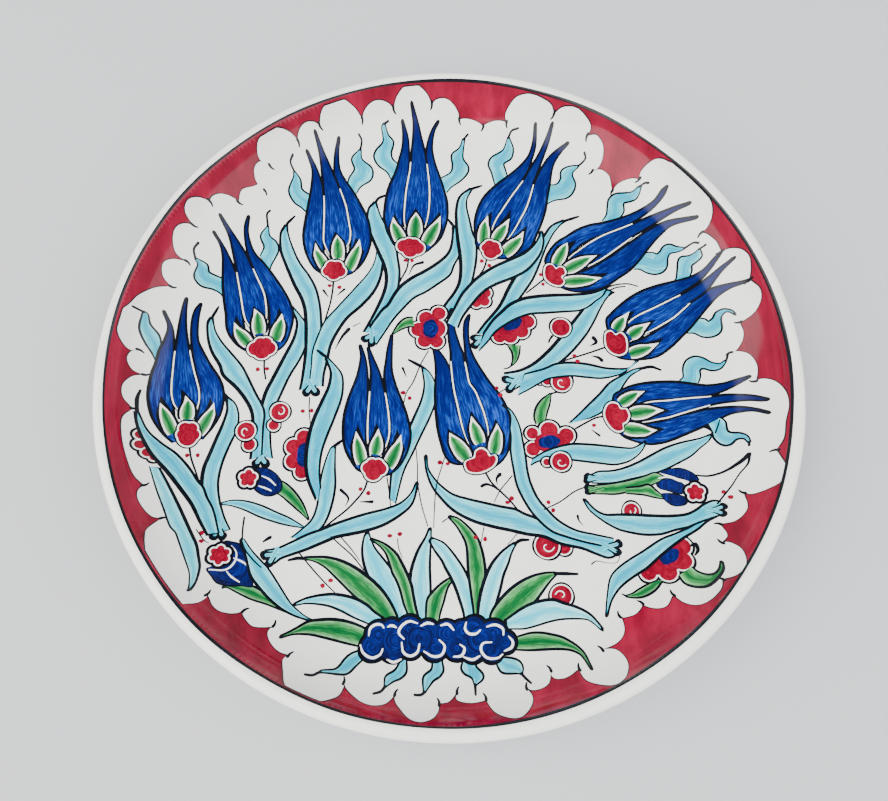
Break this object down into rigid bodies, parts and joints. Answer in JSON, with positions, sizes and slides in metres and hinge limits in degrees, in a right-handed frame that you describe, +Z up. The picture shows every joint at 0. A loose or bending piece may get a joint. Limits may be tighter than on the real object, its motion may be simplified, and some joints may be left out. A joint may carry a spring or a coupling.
{
  "type": "hand painted ceramic plate",
  "caption": "Round ceramic plate with a rounded lip, curved wall and turned foot ring, painted with tulips, saz leaves and a red cloud border.",
  "frame": {"origin": "centre of the foot ring's resting plane, under the middle of the plate", "axes": "+Z up, out of the painted face and along the plate's axis; the rocks at the root of the painting lie towards -Y"},
  "size_m": [0.3, 0.3, 0.03],
  "materials": {
    "biscuit": "matt unglazed fired body, seen on the foot ring",
    "white_slip": "smooth white slip, under the glaze",
    "clear_glaze": "glossy clear glaze over white slip",
    "back_glaze": "glossy off-white glaze",
    "black_paint": "glossy black brushed line",
    "coral_red_paint": "glossy coral red, brushed, slightly raised",
    "cobalt_paint": "glossy cobalt blue with darker brush streaks",
    "green_paint": "glossy leaf green, shaded lighter to the edges",
    "turquoise_paint": "glossy light turquoise with a paler middle"
  },
  "bodies": {
    "root": {"biscuit_body": "biscuit", "white_slip_face": "white_slip", "clear_glaze_face": "clear_glaze", "back_glaze_outer": "back_glaze", "back_glaze_centre": "back_glaze", "rim_line": "black_paint", "red_border": "coral_red_paint", "bud_1": "cobalt_paint", "bud_2": "cobalt_paint", "bud_3": "cobalt_paint", "grass": "green_paint", "leaf_pair_01": "turquoise_paint", "leaf_pair_02": "turquoise_paint", "leaf_pair_03": "turquoise_paint", "leaf_pair_04": "turquoise_paint", "leaf_pair_05": "turquoise_paint", "leaf_pair_06": "turquoise_paint", "leaf_pair_07": "turquoise_paint", "leaf_pair_08": "turquoise_paint", "leaf_pair_09": "turquoise_paint", "leaf_pair_10": "turquoise_paint", "leaf_pair_11": "turquoise_paint", "rocks": "cobalt_paint", "roots": "turquoise_paint", "rosette_1_petals": "coral_red_paint", "rosette_2_petals": "coral_red_paint", "rosette_3_petals": "coral_red_paint", "rosette_4_petals": "coral_red_paint", "rosette_5_petals": "coral_red_paint", "tulip_01_cup": "coral_red_paint", "tulip_01_petals": "cobalt_paint", "tulip_01_sepals": "green_paint", "tulip_02_cup": "coral_red_paint", "tulip_02_petals": "cobalt_paint", "tulip_02_sepals": "green_paint", "tulip_03_cup": "coral_red_paint", "tulip_03_petals": "cobalt_paint", "tulip_03_sepals": "green_paint", "tulip_04_cup": "coral_red_paint", "tulip_04_petals": "cobalt_paint", "tulip_04_sepals": "green_paint", "tulip_05_cup": "coral_red_paint", "tulip_05_petals": "cobalt_paint", "tulip_05_sepals": "green_paint", "tulip_06_cup": "coral_red_paint", "tulip_06_petals": "cobalt_paint", "tulip_06_sepals": "green_paint", "tulip_07_cup": "coral_red_paint", "tulip_07_petals": "cobalt_paint", "tulip_07_sepals": "green_paint", "tulip_08_cup": "coral_red_paint", "tulip_08_petals": "cobalt_paint", "tulip_08_sepals": "green_paint", "tulip_09_cup": "coral_red_paint", "tulip_09_petals": "cobalt_paint", "tulip_09_sepals": "green_paint", "tulip_10_cup": "coral_red_paint", "tulip_10_petals": "cobalt_paint", "tulip_10_sepals": "green_paint"}
  },
  "joints": []
}
